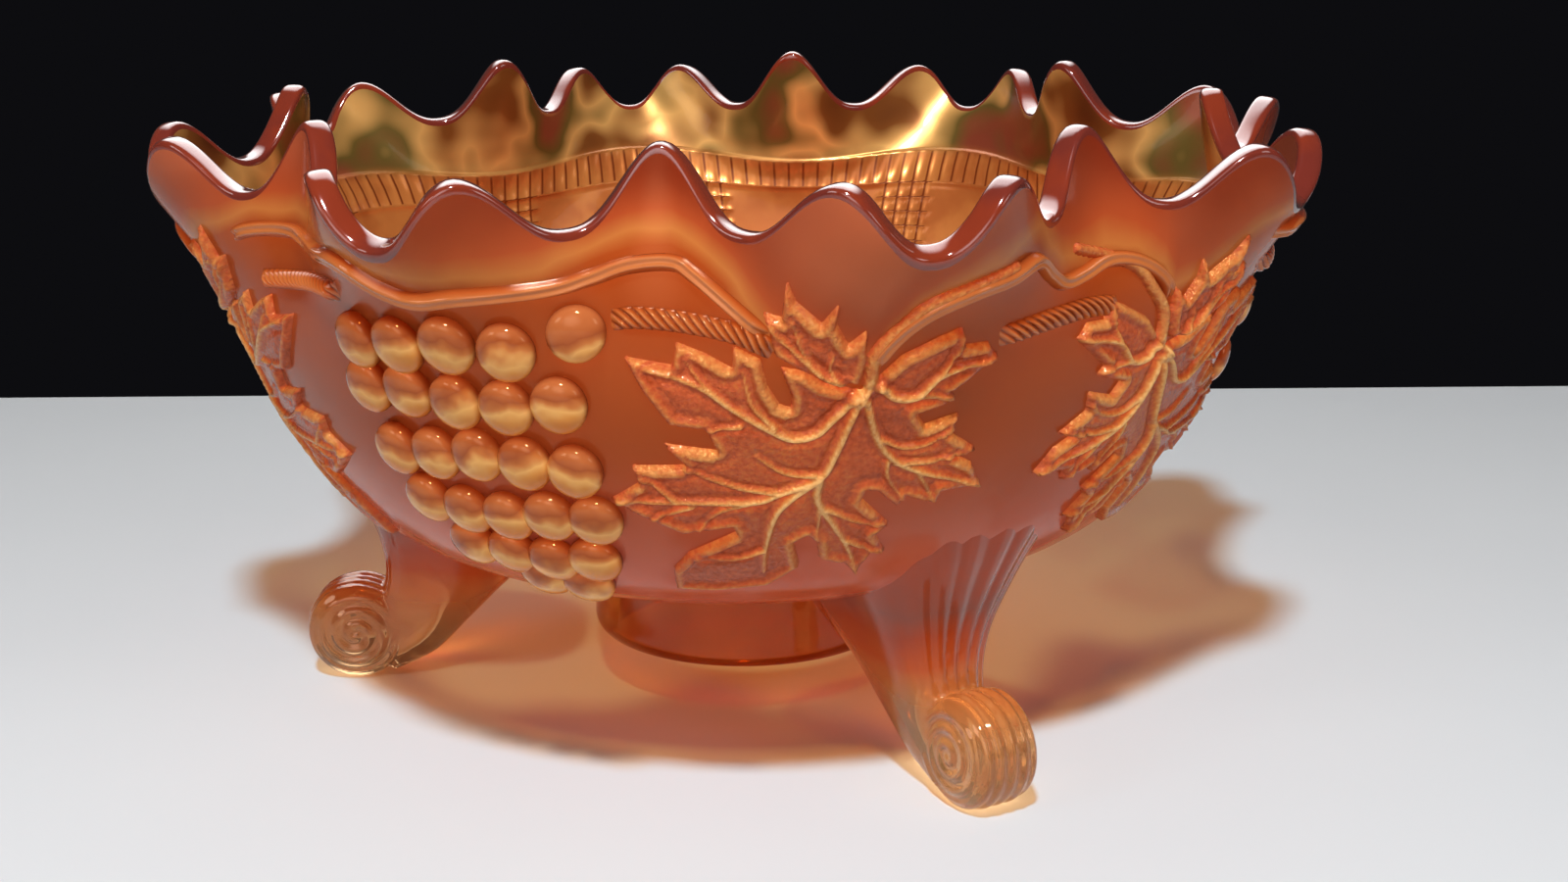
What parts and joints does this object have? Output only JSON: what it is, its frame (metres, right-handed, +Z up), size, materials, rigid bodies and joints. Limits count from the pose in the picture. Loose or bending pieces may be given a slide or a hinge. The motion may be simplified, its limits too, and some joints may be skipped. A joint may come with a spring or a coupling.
{
  "type": "footed bowl",
  "caption": "Ruffled bowl of iridised orange glass with a scalloped rim, moulded grapes, vine leaves and vine, on a collar base and scroll feet.",
  "frame": {"origin": "on the table under the bowl's axis, level with the undersides of the three feet", "axes": "+Z up; the front, the side that shows one grape bunch and one foot, faces -Y; +X to the right"},
  "size_m": [0.2686, 0.2686, 0.147],
  "materials": {
    "shell_glass": "glossy, iridised orange to pink",
    "base_glass": "glossy, clear amber",
    "grape_glass": "glossy, iridised peach",
    "leaf_glass": "stippled, iridised gold",
    "vine_glass": "glossy, iridised gold"
  },
  "bodies": {
    "root": {"bowl_shell": "shell_glass", "collar_base": "base_glass", "scroll_foot_front": "base_glass", "scroll_foot_left": "base_glass", "scroll_foot_rear": "base_glass", "grape_bunch_front": "grape_glass", "lone_grape_front": "grape_glass", "vine_leaf_front": "leaf_glass", "mirrored_leaf_front": "leaf_glass", "vine_over_foot_front": "vine_glass", "vine_over_bunch_front": "vine_glass", "twisted_stem_by_grape_front": "vine_glass", "twisted_stem_over_foot_front": "vine_glass", "twisted_stem_by_leaf_front": "vine_glass", "grape_bunch_right": "grape_glass", "lone_grape_right": "grape_glass", "vine_leaf_right": "leaf_glass", "mirrored_leaf_right": "leaf_glass", "vine_over_foot_right": "vine_glass", "vine_over_bunch_right": "vine_glass", "twisted_stem_by_grape_right": "vine_glass", "twisted_stem_over_foot_right": "vine_glass", "twisted_stem_by_leaf_right": "vine_glass", "grape_bunch_rear": "grape_glass", "lone_grape_rear": "grape_glass", "vine_leaf_rear": "leaf_glass", "mirrored_leaf_rear": "leaf_glass", "vine_over_foot_rear": "vine_glass", "vine_over_bunch_rear": "vine_glass", "twisted_stem_by_grape_rear": "vine_glass", "twisted_stem_over_foot_rear": "vine_glass", "twisted_stem_by_leaf_rear": "vine_glass"}
  },
  "joints": []
}
